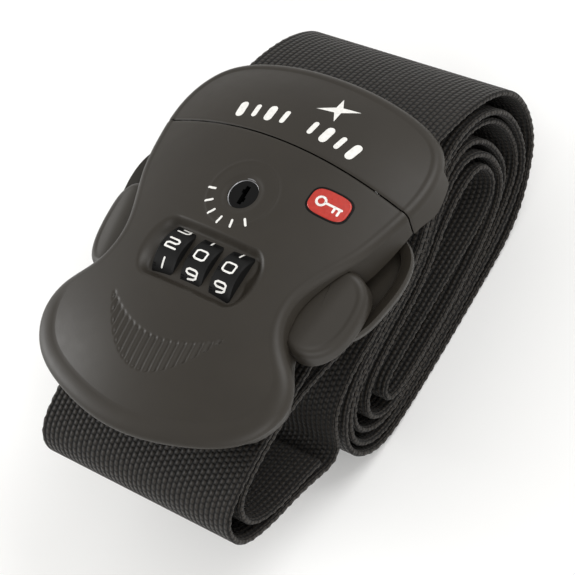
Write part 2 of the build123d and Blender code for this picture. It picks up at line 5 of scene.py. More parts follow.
import bmesh
import bpy
import numpy as np
from mathutils import Matrix, Vector


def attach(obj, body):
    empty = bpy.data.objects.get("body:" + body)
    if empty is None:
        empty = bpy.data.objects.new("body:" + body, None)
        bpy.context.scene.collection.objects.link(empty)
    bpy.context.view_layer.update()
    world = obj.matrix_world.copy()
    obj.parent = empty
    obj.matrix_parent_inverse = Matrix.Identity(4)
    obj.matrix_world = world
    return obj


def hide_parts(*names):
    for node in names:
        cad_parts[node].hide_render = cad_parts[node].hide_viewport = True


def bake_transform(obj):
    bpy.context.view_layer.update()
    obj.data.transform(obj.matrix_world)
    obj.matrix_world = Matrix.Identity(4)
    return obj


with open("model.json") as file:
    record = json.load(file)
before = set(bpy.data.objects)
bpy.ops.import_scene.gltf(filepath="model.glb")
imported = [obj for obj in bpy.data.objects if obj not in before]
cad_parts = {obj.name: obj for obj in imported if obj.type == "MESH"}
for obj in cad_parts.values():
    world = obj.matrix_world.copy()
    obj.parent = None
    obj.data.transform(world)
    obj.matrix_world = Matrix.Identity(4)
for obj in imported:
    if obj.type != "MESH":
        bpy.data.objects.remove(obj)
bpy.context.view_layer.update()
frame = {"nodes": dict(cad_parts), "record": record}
MM = 0.001
TINY = 1e-6

# ---------------------------------------------------------------- camera
RIGHT = Vector((0.7816, 0.5137, -0.3538))
UP = Vector((-0.3384, 0.8257, 0.4513))
BACK = Vector((0.5240, -0.2330, 0.8192))
TARGET = Vector((0.00071, -0.00299, 0.02770))
DISTANCE = 0.5
LENS, SENSOR, NEAR = 150.3, 36.0, 0.01
camera_data = bpy.data.cameras.new("camera")
camera_data.lens = LENS
camera_data.sensor_width = SENSOR
camera_data.clip_start = NEAR
camera = bpy.data.objects.new("camera", camera_data)
bpy.context.scene.collection.objects.link(camera)
turn = Matrix((RIGHT, UP, BACK)).transposed().to_4x4()
camera.matrix_world = Matrix.Translation(TARGET + BACK * DISTANCE) @ turn
bpy.context.scene.camera = camera


# ---------------------------------------------------------------- helpers
CURVE_SAMPLES = 4000


def smoothstep(low, high, value):
    """0 below low, 1 above high, smooth between."""
    t = np.clip((np.asarray(value, float) - low) / (high - low), 0, 1)
    return t * t * (3 - 2 * t)


def curve_through(points, count, start=None, end=None):
    """Evenly spaced points on a cubic through the given ones, with optional end directions."""
    p = np.array(points, float)
    chord = np.r_[0, np.cumsum(np.linalg.norm(np.diff(p, axis=0), axis=1))]
    h = np.diff(chord)
    n = len(p)
    a = np.zeros((n, n))
    b = np.zeros(p.shape)
    for i in range(1, n - 1):
        a[i, i - 1], a[i, i], a[i, i + 1] = h[i], 2 * (h[i - 1] + h[i]), h[i - 1]
        b[i] = 3 * (h[i - 1] * (p[i + 1] - p[i]) / h[i] + h[i] * (p[i] - p[i - 1]) / h[i - 1])
    for row, step, given, edge in ((0, 1, start, h[0]), (n - 1, -1, end, h[-1])):
        a[row, row] = 1 if given is not None else 2
        if given is None:
            a[row, row + step] = 1
            b[row] = step * 3 * (p[row + step] - p[row]) / edge
        else:
            b[row] = given
    m = np.linalg.solve(a, b)
    fine = np.linspace(0, chord[-1], CURVE_SAMPLES)
    k = np.clip(np.searchsorted(chord, fine) - 1, 0, n - 2)
    t = ((fine - chord[k]) / h[k])[:, None]
    hk = h[k][:, None]
    dense = ((2 * t**3 - 3 * t**2 + 1) * p[k] + (t**3 - 2 * t**2 + t) * hk * m[k]
             + (3 * t**2 - 2 * t**3) * p[k + 1] + (t**3 - t**2) * hk * m[k + 1])
    run = np.r_[0, np.cumsum(np.linalg.norm(np.diff(dense, axis=0), axis=1))]
    at = np.linspace(0, run[-1], count)
    return np.stack([np.interp(at, run, dense[:, i]) for i in range(p.shape[1])], 1)


def new_object(name, verts, faces, material=None, smooth=True):
    """Mesh object from points in millimetres."""
    mesh = bpy.data.meshes.new(name)
    points = [tuple(v) for v in np.asarray(verts, float) * MM]
    mesh.from_pydata(points, [], [tuple(int(i) for i in f) for f in faces])
    mesh.validate()
    if smooth:
        mesh.shade_smooth()
    else:
        mesh.shade_flat()
    obj = bpy.data.objects.new(name, mesh)
    bpy.context.scene.collection.objects.link(obj)
    if material:
        mesh.materials.append(material)
    return obj


def grid_faces(rows, columns, closed=False, start=0):
    """Quads of a grid of rows x columns points, optionally joined round."""
    faces = []
    last = columns if closed else columns - 1
    for i in range(rows - 1):
        for j in range(last):
            k = (j + 1) % columns
            faces.append((start + i * columns + j, start + i * columns + k,
                          start + (i + 1) * columns + k, start + (i + 1) * columns + j))
    return faces


def apply_modifiers(obj):
    """Bakes the object's modifiers into its mesh."""
    bpy.context.view_layer.update()
    graph = bpy.context.evaluated_depsgraph_get()
    mesh = bpy.data.meshes.new_from_object(obj.evaluated_get(graph), depsgraph=graph)
    obj.modifiers.clear()
    old = obj.data
    obj.data = mesh
    bpy.data.meshes.remove(old)
    return obj


def cut(obj, cutter):
    """Takes the cutter out of the object and deletes the cutter."""
    mod = obj.modifiers.new("cut", "BOOLEAN")
    mod.operation = "DIFFERENCE"
    mod.object = cutter
    mod.solver = "EXACT"
    apply_modifiers(obj)
    bpy.data.objects.remove(cutter)


def soften(obj, angle=35):
    """Smooth shading that keeps edges sharper than the angle."""
    obj.data.shade_smooth()
    for edge in obj.data.edges:
        edge.use_edge_sharp = False
    mesh = bmesh.new()
    mesh.from_mesh(obj.data)
    limit = math.radians(angle)
    for edge in mesh.edges:
        if len(edge.link_faces) == 2 and edge.calc_face_angle(0) > limit:
            edge.smooth = False
    mesh.to_mesh(obj.data)
    mesh.free()


# ---------------------------------------------------------------- materials
class Nodes:
    """Small wrapper that wires up one material."""

    def __init__(self, name):
        self.material = bpy.data.materials.new(name)
        self.material.use_nodes = True
        self.tree = self.material.node_tree
        self.shader = self.tree.nodes["Principled BSDF"]

    def add(self, kind, **values):
        """New node with the given settings."""
        node = self.tree.nodes.new(kind)
        for key, value in values.items():
            setattr(node, key, value)
        return node

    def link(self, source, target):
        """Wire between two sockets."""
        self.tree.links.new(source, target)

    def math(self, operation, a, b=None):
        """Result of a sum on sockets or plain numbers."""
        node = self.add("ShaderNodeMath", operation=operation)
        for socket, value in zip(node.inputs, (a, b)):
            if value is None:
                continue
            if isinstance(value, (int, float)):
                socket.default_value = value
            else:
                self.link(value, socket)
        return node.outputs[0]

    def noise(self, scale, detail=3.0):
        """Noise in the object's own coordinates."""
        coords = self.add("ShaderNodeTexCoord")
        node = self.add("ShaderNodeTexNoise")
        node.inputs["Scale"].default_value = scale
        node.inputs["Detail"].default_value = detail
        self.link(coords.outputs["Object"], node.inputs["Vector"])
        return node.outputs["Fac"]

    def spread(self, value, low, high, start=0.3, end=0.7):
        """Value between start and end, spread over low to high."""
        node = self.add("ShaderNodeMapRange")
        for key, number in (("From Min", start), ("From Max", end), ("To Min", low), ("To Max", high)):
            node.inputs[key].default_value = number
        self.link(value, node.inputs["Value"])
        return node.outputs["Result"]

    def ramp(self, value, stops):
        """Colour ramp with (place, colour) stops."""
        node = self.add("ShaderNodeValToRGB")
        elements = node.color_ramp.elements
        while len(elements) < len(stops):
            elements.new(0.5)
        for element, (place, colour) in zip(elements, stops):
            element.position = place
            element.color = (*colour, 1)
        self.link(value, node.inputs["Fac"])
        return node.outputs["Color"]

    def bump(self, height, strength, distance, after=None):
        """Bumped normal, on top of another one where given."""
        node = self.add("ShaderNodeBump")
        node.inputs["Strength"].default_value = strength
        node.inputs["Distance"].default_value = distance
        self.link(height, node.inputs["Height"])
        if after is not None:
            self.link(after, node.inputs["Normal"])
        return node.outputs["Normal"]


WEAR_GAIN, WEAR_LIFT = 2.2, 0.01     # rubbed plastic against its own colour


def plastic(name, colour, roughness, grain=0.12, spread=0.06, specular=0.5, wear=0.25):
    """Moulded plastic: faint colour drift, fine grain, and edges rubbed lighter by the wear."""
    n = Nodes(name)
    dark = tuple(c * (1 - spread) for c in colour)
    light = tuple(c * (1 + spread) for c in colour)
    base = n.ramp(n.noise(90.0, 4.0), [(0.3, dark), (0.7, light)])
    geometry = n.add("ShaderNodeNewGeometry")
    edge = n.spread(geometry.outputs["Pointiness"], 0.0, wear, 0.52, 0.60)
    rubbed = n.add("ShaderNodeMix", data_type="RGBA")
    n.link(edge, rubbed.inputs["Factor"])
    n.link(base, rubbed.inputs["A"])
    rubbed.inputs["B"].default_value = (*(min(1.0, c * WEAR_GAIN + WEAR_LIFT) for c in colour), 1)
    n.link(rubbed.outputs["Result"], n.shader.inputs["Base Color"])
    n.link(n.spread(n.noise(350.0, 3.0), roughness - 0.02, roughness + 0.03), n.shader.inputs["Roughness"])
    coarse = n.bump(n.noise(2600.0, 2.0), grain, 0.00006)
    n.link(n.bump(n.noise(240.0, 3.0), grain * 0.5, 0.00012, coarse), n.shader.inputs["Normal"])
    n.shader.inputs["Specular IOR Level"].default_value = specular
    return n.material


def metal(name, colour, roughness):
    """Plated or spring steel with a fine bumped grain and uneven polish."""
    n = Nodes(name)
    n.shader.inputs["Metallic"].default_value = 1.0
    dark = tuple(c * 0.8 for c in colour)
    n.link(n.ramp(n.noise(400.0, 5.0), [(0.3, dark), (0.7, colour)]), n.shader.inputs["Base Color"])
    n.link(n.spread(n.noise(900.0, 4.0), roughness - 0.08, roughness + 0.12), n.shader.inputs["Roughness"])
    n.link(n.bump(n.noise(1800.0, 2.0), 0.15, 0.00004), n.shader.inputs["Normal"])
    return n.material


def paint(name, colour, roughness):
    """Printed ink with slight thickness and speckle."""
    n = Nodes(name)
    dark = tuple(c * 0.86 for c in colour)
    n.link(n.ramp(n.noise(1500.0, 4.0), [(0.35, dark), (0.65, colour)]), n.shader.inputs["Base Color"])
    n.link(n.spread(n.noise(1200.0, 2.0), roughness - 0.08, roughness + 0.08), n.shader.inputs["Roughness"])
    n.link(n.bump(n.noise(3000.0, 2.0), 0.2, 0.00003), n.shader.inputs["Normal"])
    return n.material


COLUMN = 1.25     # mm between warp columns
CELL = 1.2        # mm between crossings along a column
UV_SPAN = 100.0   # mm of webbing in one unit of UV


def webbing_material():
    """Coarse polypropylene weave: rounded warp columns with staggered pinholes between them, coloured darker
    in the pinholes as painted shade and lighter on the thread crowns as a painted highlight.
    """
    n = Nodes("webbing_weave")
    coords = n.add("ShaderNodeTexCoord")
    split = n.add("ShaderNodeSeparateXYZ")
    n.link(coords.outputs["UV"], split.inputs["Vector"])
    drift = n.math("MULTIPLY", n.math("SUBTRACT", n.noise(300.0, 3.0), 0.5), 0.30)
    across = n.math("ADD", n.math("MULTIPLY", split.outputs["X"], UV_SPAN / COLUMN), drift)
    stagger = n.math("MULTIPLY", n.math("FLOOR", across), 0.5)
    along = n.math("MULTIPLY", split.outputs["Y"], UV_SPAN / CELL)
    along = n.math("ADD", along, n.math("ADD", stagger, drift))
    column = n.math("ABSOLUTE", n.math("SINE", n.math("MULTIPLY", across, math.pi)))
    bead = n.math("ABSOLUTE", n.math("SINE", n.math("MULTIPLY", along, math.pi)))
    bulge = n.math("ADD", n.math("MULTIPLY", n.math("POWER", bead, 0.6), 0.65), 0.35)
    crest = n.math("MULTIPLY", n.math("POWER", column, 0.7), bulge)
    fibre = n.math("MULTIPLY", n.noise(4200.0, 3.0), 0.22)
    height = n.math("ADD", crest, fibre)
    shading_height_and_tone = n.math("ADD", height, n.math("MULTIPLY", n.math("SUBTRACT", n.noise(120.0, 4.0), 0.5), 0.25))
    # Colour follows the weave's height: painted shade in the pinholes, the thread's own colour on its sides,
    # a painted highlight on its crowns; the coarse noise adds random tone.
    painted_hole_shade, thread, painted_crown_highlight = (0.001, 0.001, 0.001), (0.0060, 0.0050, 0.0040), (0.020, 0.0165, 0.0130)
    colour = n.ramp(shading_height_and_tone, [(0.30, painted_hole_shade), (0.68, thread), (1.0, painted_crown_highlight)])
    n.link(colour, n.shader.inputs["Base Color"])
    n.link(n.spread(height, 0.85, 0.50, 0.2, 1.0), n.shader.inputs["Roughness"])
    n.link(n.bump(height, 0.9, 0.00040), n.shader.inputs["Normal"])
    n.shader.inputs["Sheen Weight"].default_value = 0.04
    n.shader.inputs["Sheen Roughness"].default_value = 0.4
    n.shader.inputs["Specular IOR Level"].default_value = 0.25
    return n.material


shell_plastic = plastic("shell_plastic", (0.022, 0.0185, 0.0140), 0.46, specular=0.32, wear=0.0)
inner_plastic = plastic("inner_plastic", (0.014, 0.013, 0.012), 0.5)
dial_plastic = plastic("dial_black", (0.003, 0.003, 0.003), 0.42, grain=0.05, specular=0.12, wear=0.4)
core_gloss = plastic("core_black", (0.002, 0.002, 0.002), 0.14, grain=0.0, specular=0.15, wear=0.1)
acetal = plastic("acetal", (0.62, 0.60, 0.55), 0.45)
steel = metal("steel", (0.58, 0.58, 0.58), 0.30)
spring_steel = metal("spring_steel", (0.45, 0.46, 0.48), 0.25)
zinc = metal("zinc", (0.30, 0.30, 0.31), 0.42)
white_ink = paint("white_ink", (0.78, 0.77, 0.74), 0.45)
badge_red = paint("badge_red", (0.42, 0.022, 0.012), 0.35)
weave = webbing_material()

LOOKS = {
    "shell_plastic": shell_plastic, "shell_inner": inner_plastic, "dial_black": dial_plastic,
    "core_black": core_gloss, "badge_red": badge_red, "webbing_weave": weave, "steel": steel,
    "spring_steel": spring_steel, "acetal": acetal, "zinc": zinc,
}
for part in frame["record"]["subparts"]:
    node = frame["nodes"][part["node"]]
    node.data.materials.clear()
    node.data.materials.append(LOOKS[part["material_slot"]])

# ---------------------------------------------------------------- lock shape
DIAL_Y, DIAL_Z, DIAL_R, DIAL_PITCH = -14.0, 52.7, 7.0, 7.3
KEY_Y = 2.2
SHELL = 1.6                                    # wall of the upper shells
CROWN_FALL, CROWN_HALF = 8.6, 36.0             # drop of the crown at its half width
SEAM_Y, SEAM_Z, SEAM_LEAN = 10.7, 40, 0.33     # parting line: place at a height, run per mm up
SEAM_BOW, SEAM_HALF = 1.05, 30.0               # how far it bows towards the skirt at a half width
GROOVE_OFF, GROOVE_WIDTH = 0.2, 0.35           # eased edge of the seam
GROOVE_TOP, GROOVE_WALL = 0.22, 0.16
EDGE_SKIRT, EDGE_REAR, EDGE_STEP = 51.0, 3.5, 5.9     # wall's lower edge: tail, its drop, rise at the waist
HEAD_LIP, HEAD_DEEPER = 0.6, 2.0
MOUTH_Y, MOUTH_RISE, MOUTH_FALL = 27.0, 4.0, 0.20
MIN_WALL = 0.3
FLARE_HEAD, FLARE_TURN = 0.17, 0.62
ROUND_HEAD, ROUND_MORE, ROUND_FLATTER = 2.0, 2.4, 0.5
GRIP_HALF, GRIP_PITCH, GRIP_EDGE = 14.2, 1.6, 0.9
GRIP_LOW, GRIP_LOW_BEND = -39.2, 12.2                 # lower edge of the crescent and its rise at the tips
GRIP_HIGH, GRIP_HIGH_BEND = -31.2, 5.4
GRIP_SINK, GRIP_RIB = -0.22, 0.20
DISH_DEPTH, DISH_STRAIGHT, DISH_END, DISH_SIDE = 1.9, 9.6, 5.2, 7.2
DISH_SOFT, DISH_SOFTER = 0.74, 0.55                   # share of the dish that is level, and less at its ends
RING_R, RING_HEIGHT, RING_WIDTH = 7.6, 0.12, 0.35
KEY_DIP, KEY_DIP_IN, KEY_DIP_OUT = 0.35, 3.5, 4.9
PLAN = [
    (0, 36), (16.5, 34.6), (28.0, 29.4), (31.6, 20.0), (30.5, 9), (28.1, 0.5), (24.0, -8), (22.2, -14.5),
    (24, -21), (29.2, -27), (30.9, -32), (27.8, -40.6), (16, -47.7), (0, -50.6),
]
SPINE = (-32.0, 20.0)     # stretch of the middle line that the rings close on
RIDGE = [
    (38, 48.8), (30, 53.2), (22, 56.2), (10, 58.4), (-4, 59.5), (-20, 59.8),
    (-32, 59.1), (-42, 57.0), (-50, 53.8), (-55, 51.2),
]
RIDGE_POINTS = 400
ridge_line = curve_through(RIDGE, RIDGE_POINTS)[::-1]


def crown(x, y):
    """Height of the plain crowned surface."""
    ridge = np.interp(y, ridge_line[:, 0], ridge_line[:, 1])
    return ridge - CROWN_FALL * (np.asarray(x) / CROWN_HALF) ** 2


def seam_y(x, z):
    """Place of the leaning parting line between body and plug head."""
    lean = SEAM_LEAN * (np.asarray(z) - SEAM_Z)
    return SEAM_Y + lean - SEAM_BOW * (np.asarray(x) / SEAM_HALF) ** 2


def groove(off):
    """Share of the seam's eased edge at a distance from the parting line."""
    return np.exp(-((off + GROOVE_OFF) / GROOVE_WIDTH) ** 2)


def lower_edge(y):
    """How far down the side wall reaches: skirt, waist over the pads, front, head and mouth."""
    y = np.asarray(y, float)
    skirt = EDGE_SKIRT - EDGE_REAR * smoothstep(-41.8, -41.0, y)
    waist = skirt + EDGE_STEP * smoothstep(-21.6, -20.6, y)
    front = waist - EDGE_STEP * smoothstep(-2.2, -1.4, y)
    head = front - HEAD_LIP * smoothstep(11.4, 12.4, y) - HEAD_DEEPER * smoothstep(12.5, 19.0, y)
    mouth = head + MOUTH_RISE * smoothstep(24.6, MOUTH_Y, y)
    return mouth - MOUTH_FALL * np.clip(y - MOUTH_Y, 0, None)


def wall_flare(y):
    """Sideways run of the wall per mm going down: out at the head, in under the skirt."""
    return FLARE_HEAD - FLARE_TURN * smoothstep(16.0, 30.0, -np.asarray(y, float))


def edge_radius(y):
    """Rounding between the crown and the wall."""
    return ROUND_HEAD + ROUND_MORE * smoothstep(14.0, 38.0, -np.asarray(y, float))


def edge_drop(y):
    """Height of the rounding as a share of its width: flatter towards the skirt."""
    return 1.0 - ROUND_FLATTER * smoothstep(18.0, 40.0, -np.asarray(y, float))


def grip_ribs(x, y):
    """Ribbed crescent for the thumb."""
    low = GRIP_LOW + GRIP_LOW_BEND * (x / GRIP_HALF) ** 2
    high = GRIP_HIGH + GRIP_HIGH_BEND * (x / GRIP_HALF) ** 2
    inside = smoothstep(0, GRIP_EDGE, y - low) * smoothstep(0, GRIP_EDGE, high - y)
    inside = inside * (np.abs(x) < GRIP_HALF)
    return inside * (GRIP_SINK + GRIP_RIB * np.cos(2 * math.pi * x / GRIP_PITCH))


def detailed(x, y):
    """Crown height with the dial dish, the ring and dip round the key, the seam's edge and the grip."""
    z = crown(x, y)
    end = np.clip(np.abs(x) - DISH_STRAIGHT, 0, None) / DISH_END
    side = (y - DIAL_Y) / DISH_SIDE
    reach = np.hypot(end, side)
    soft = DISH_SOFT - DISH_SOFTER * end**2 / (reach**2 + TINY)
    t = np.clip((reach - soft) / (1 - soft), 0, 1)
    z = z - DISH_DEPTH * (1 - t * t * (3 - 2 * t))
    key = np.hypot(x, y - KEY_Y)
    z = z + RING_HEIGHT * np.exp(-((key - RING_R) / RING_WIDTH) ** 2)
    z = z - KEY_DIP * (1 - smoothstep(KEY_DIP_IN, KEY_DIP_OUT, key))
    z = z - GROOVE_TOP * groove(y - seam_y(x, z))
    return z + grip_ribs(x, y)


RINGS_IN, ROUNDS, WALLS, RIM_POINTS = 110, 9, 12, 460
rim = curve_through(PLAN, RIM_POINTS, (1, 0), (-1, 0))
tangent = np.gradient(rim, axis=0)
tangent /= np.linalg.norm(tangent, axis=1)[:, None]
outward = np.stack([-tangent[:, 1], tangent[:, 0]], 1)
outward[0], outward[-1] = (0, 1), (0, -1)
spine_y = np.interp(rim[:, 1], [PLAN[-1][1], PLAN[0][1]], SPINE)


def shell_rows():
    """Rings of points for the right half: spine, crown, rounded edge, wall."""
    radius = edge_radius(rim[:, 1])
    drop = radius * edge_drop(rim[:, 1])
    inner = rim - outward * radius[:, None]
    rows = []
    for share in np.linspace(0, 1, RINGS_IN):
        x = inner[:, 0] * share
        y = spine_y + (inner[:, 1] - spine_y) * share
        rows.append(np.stack([x, y, detailed(x, y)], 1))
    base = crown(inner[:, 0], inner[:, 1])
    for angle in np.linspace(0, math.pi / 2, ROUNDS + 1)[1:]:
        spot = inner + outward * (radius * math.sin(angle))[:, None]
        z = base - drop * (1 - math.cos(angle))
        off = spot[:, 1] - seam_y(spot[:, 0], z)
        spot = spot - outward * (GROOVE_WALL * groove(off))[:, None]
        rows.append(np.column_stack([spot, z]))
    start = base - drop
    end = np.minimum(lower_edge(rim[:, 1]), start - MIN_WALL)
    flare = wall_flare(rim[:, 1])
    for share in np.linspace(0, 1, WALLS + 1)[1:]:
        z = start + (end - start) * share
        off = rim[:, 1] - seam_y(rim[:, 0], z)
        bulge = flare * (start - z) - GROOVE_WALL * groove(off)
        rows.append(np.column_stack([rim + outward * bulge[:, None], z]))
    return np.array(rows)


SEAM_GAP = 0.36
WELD, SLIVER = 0.01, 0.005
rows = shell_rows()


def shell_part(name, keep_head):
    """One side of the lock's skin, cut at the parting line and given its wall thickness."""
    gap = 0.0 if keep_head else -SEAM_GAP
    right = rows.reshape(-1, 3)
    left = right * (-1, 1, 1)
    quads = grid_faces(rows.shape[0], rows.shape[1])
    faces = [tuple(reversed(f)) for f in quads] + [tuple(i + len(right) for i in f) for f in quads]
    mesh = bmesh.new()
    verts = [mesh.verts.new(v) for v in np.vstack([right, left])]
    for face in faces:
        mesh.faces.new([verts[i] for i in face])
    bmesh.ops.remove_doubles(mesh, verts=mesh.verts, dist=WELD)
    bmesh.ops.dissolve_degenerate(mesh, dist=SLIVER, edges=mesh.edges)
    for v in mesh.verts:
        v.co.y -= float(seam_y(v.co.x, v.co.z)) + gap
    everything = mesh.verts[:] + mesh.edges[:] + mesh.faces[:]
    bmesh.ops.bisect_plane(mesh, geom=everything, plane_co=(0, 0, 0), plane_no=(0, 1, 0),
                           clear_outer=not keep_head, clear_inner=keep_head)
    for v in mesh.verts:
        v.co.y += float(seam_y(v.co.x, v.co.z)) + gap
    bmesh.ops.recalc_face_normals(mesh, faces=mesh.faces)
    for v in mesh.verts:
        v.co *= MM
    data = bpy.data.meshes.new(name)
    mesh.to_mesh(data)
    mesh.free()
    obj = bpy.data.objects.new(name, data)
    bpy.context.scene.collection.objects.link(obj)
    top = max(data.polygons, key=lambda p: p.center.z)
    if top.normal.z < 0:
        data.flip_normals()
    wall = obj.modifiers.new("wall", "SOLIDIFY")
    wall.thickness = SHELL * MM
    wall.offset = -1
    wall.use_even_offset = False
    apply_modifiers(obj)
    return obj


def round_cutter(centre, radius, low, high, steps=64):
    """Upright round bore."""
    angles = [2 * math.pi * k / steps for k in range(steps)]
    ring = [(centre[0] + radius * math.cos(a), centre[1] + radius * math.sin(a)) for a in angles]
    verts = [(x, y, z) for z in (low, high) for x, y in ring]
    faces = [(k, (k + 1) % steps, steps + (k + 1) % steps, steps + k) for k in range(steps)]
    faces += [tuple(range(steps - 1, -1, -1)), tuple(range(steps, 2 * steps))]
    return verts, faces


SLOT_GAP, SLOT_HALF, SLOT_SIDE, SLOT_RISE = 0.22, 5.75, 2.78, 13.0
BORE_R, BORE_LOW, BORE_HIGH = 3.38, 50, 65


def slot_cutter(low, high):
    """Window for one dial: round below, straight sides above where the dial comes through."""
    reach = DIAL_R + SLOT_GAP
    shoulder = math.acos(SLOT_HALF / reach)
    sweep = np.linspace(shoulder, -math.pi - shoulder, 49)
    profile = [(reach * math.cos(a), reach * math.sin(a)) for a in sweep]
    profile += [(-SLOT_HALF, SLOT_RISE), (SLOT_HALF, SLOT_RISE)]
    verts = [(x, DIAL_Y + y, DIAL_Z + z) for x in (low, high) for y, z in profile]
    size = len(profile)
    faces = [(k, (k + 1) % size, size + (k + 1) % size, size + k) for k in range(size)]
    faces += [tuple(range(size - 1, -1, -1)), tuple(range(size, 2 * size))]
    return verts, faces


def join(parts):
    """Several point and face lists as one."""
    verts, faces = [], []
    for v, f in parts:
        faces += [tuple(i + len(verts) for i in face) for face in f]
        verts += [tuple(p) for p in v]
    return verts, faces


body_skin = shell_part("body_skin", False)
head_skin = shell_part("head_skin", True)
slots = [place * DIAL_PITCH for place in (-1, 0, 1)]
cuts = [slot_cutter(place - SLOT_SIDE, place + SLOT_SIDE) for place in slots]
cuts.append(round_cutter((0, KEY_Y), BORE_R, BORE_LOW, BORE_HIGH))
cut(body_skin, new_object("cutter", *join(cuts)))
for piece, body, node in ((body_skin, "housing", "upper_cover"), (head_skin, "plug", "plug_cover")):
    piece.data.materials.clear()
    piece.data.materials.append(shell_plastic)
    soften(piece, 40)
    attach(piece, body)
    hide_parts(node)


# ---------------------------------------------------------------- trays and cushion-like solids
FLOOR_SHARE, FLOOR_END, WALL_START = 0.42, 0.5, 1.4     # floor as a share of the wall, and where it changes
WALL_LEAN = 0.25
FOOT_ROUND = 0.35


def side_rows(half, spine, bottom, top, radius):
    """Rings of an open tray for the right half: spine, floor, rounded edge, wall up to top(x, y)."""
    edge = curve_through(half, 300, (1, 0), (-1, 0))
    run = np.gradient(edge, axis=0)
    run /= np.linalg.norm(run, axis=1)[:, None]
    out = np.stack([-run[:, 1], run[:, 0]], 1)
    out[0], out[-1] = (0, 1), (0, -1)
    inner = edge - out * radius
    middle = np.interp(edge[:, 1], [half[-1][1], half[0][1]], spine)
    rings = []
    for share in np.linspace(0, 1, 30):
        y = middle + (inner[:, 1] - middle) * share
        rings.append(np.column_stack([inner[:, 0] * share, y, np.full(len(edge), bottom)]))
    for angle in np.linspace(0, math.pi / 2, 7)[1:]:
        spot = inner + out * radius * math.sin(angle)
        rings.append(np.column_stack([spot, np.full(len(edge), bottom + radius * (1 - math.cos(angle)))]))
    height = top(edge[:, 0], edge[:, 1])
    for share in np.linspace(0, 1, 7)[1:]:
        lean = out * WALL_LEAN * math.sin(share * math.pi)
        z = bottom + radius + (height - bottom - radius) * share
        rings.append(np.column_stack([edge + lean, z]))
    return np.array(rings)


def mirrored(rings, name, thickness, bevel, material):
    """Both halves of a tray with wall thickness and eased edges."""
    right = rings.reshape(-1, 3)
    quads = grid_faces(rings.shape[0], rings.shape[1])
    faces = quads + [tuple(i + len(right) for i in reversed(f)) for f in quads]
    obj = new_object(name, np.vstack([right, right * (-1, 1, 1)]), faces, material)
    mesh = bmesh.new()
    mesh.from_mesh(obj.data)
    bmesh.ops.remove_doubles(mesh, verts=mesh.verts, dist=WELD * MM)
    bmesh.ops.dissolve_degenerate(mesh, dist=SLIVER * MM, edges=mesh.edges)
    bmesh.ops.recalc_face_normals(mesh, faces=mesh.faces)
    mesh.to_mesh(obj.data)
    mesh.free()
    lowest = min(obj.data.polygons, key=lambda p: p.center.z)
    if lowest.normal.z > 0:
        obj.data.flip_normals()
    low = min(v.co.z for v in obj.data.vertices) / MM
    group = obj.vertex_groups.new(name="wall")
    for v in obj.data.vertices:
        risen = float(smoothstep(low + FLOOR_END, low + WALL_START, v.co.z / MM))
        group.add([v.index], FLOOR_SHARE + (1 - FLOOR_SHARE) * risen, "REPLACE")
    wall = obj.modifiers.new("wall", "SOLIDIFY")
    wall.thickness = thickness * MM
    wall.offset = -1
    wall.vertex_group = "wall"
    round_edge = obj.modifiers.new("round", "BEVEL")
    round_edge.width = bevel * MM
    round_edge.segments = 3
    round_edge.limit_method = "ANGLE"
    round_edge.angle_limit = math.radians(50)
    return apply_modifiers(obj)


def pebble(name, points, top, bottom, radius, material):
    """Closed cushion-like solid on a closed plan, with a rounded upper edge and an eased lower one."""
    loop = curve_through(list(points) + [points[0]], 181)[:-1]
    run = np.roll(loop, -1, axis=0) - np.roll(loop, 1, axis=0)
    run /= np.linalg.norm(run, axis=1)[:, None]
    out = np.stack([-run[:, 1], run[:, 0]], 1)
    centre = loop.mean(axis=0)
    if np.sum(out * (loop - centre)) < 0:
        out = -out
    inner = loop - out * radius
    rings = []
    for share in np.linspace(0.02, 1, 18):
        spot = centre + (inner - centre) * share
        rings.append(np.column_stack([spot, top(spot[:, 0], spot[:, 1])]))
    base = top(inner[:, 0], inner[:, 1])
    for angle in np.linspace(0, math.pi / 2, 11)[1:]:
        spot = inner + out * radius * math.sin(angle)
        rings.append(np.column_stack([spot, base - radius * (1 - math.cos(angle))]))
    for share in np.linspace(0, 1, 5)[1:]:
        z = base - radius + (bottom + FOOT_ROUND - base + radius) * share
        rings.append(np.column_stack([loop, z]))
    for angle in np.linspace(0, math.pi / 2, 4)[1:]:
        spot = loop - out * FOOT_ROUND * (1 - math.cos(angle))
        z = bottom + FOOT_ROUND * (1 - math.sin(angle))
        rings.append(np.column_stack([spot, np.full(len(loop), z)]))
    rings = np.array(rings)
    count = len(loop)
    faces = grid_faces(len(rings), count, closed=True)
    faces.append(tuple(range(count - 1, -1, -1)))
    faces.append(tuple(range((len(rings) - 1) * count, len(rings) * count)))
    obj = new_object(name, rings.reshape(-1, 3), faces, material)
    mesh = bmesh.new()
    mesh.from_mesh(obj.data)
    bmesh.ops.recalc_face_normals(mesh, faces=mesh.faces)
    mesh.to_mesh(obj.data)
    mesh.free()
    return obj


# ---------------------------------------------------------------- lower tray with side guards
TRAY = [
    (0, 9.9), (23, 9.8), (29.4, 10.3), (33.0, 8.0), (34.7, 4.0), (34.9, 0), (34.2, -5), (32.8, -10),
    (30.0, -13.6), (25.6, -15.6), (21.6, -19), (22.4, -22.8), (25.6, -28), (26.6, -32), (24.0, -38.6),
    (13.8, -43.6), (0, -45.6),
]
TRAY_SPINE = (-30.0, 2.0)
TRAY_BOTTOM, TRAY_RIM, TRAY_FOOT, TRAY_WALL, TRAY_BEVEL = 43.5, 47.3, 1.4, 2.5, 0.7
GUARD_DROP, MOUTH_DROP = 0.7, 1.6
LUG_X, LUG_Y, LUG_HALF, LUG_LONG = 27.1, 2.25, 1.3, 2.2
LUG_TOP, LUG_BOTTOM, LUG_ROUND = 43.9, 38.7, 0.3


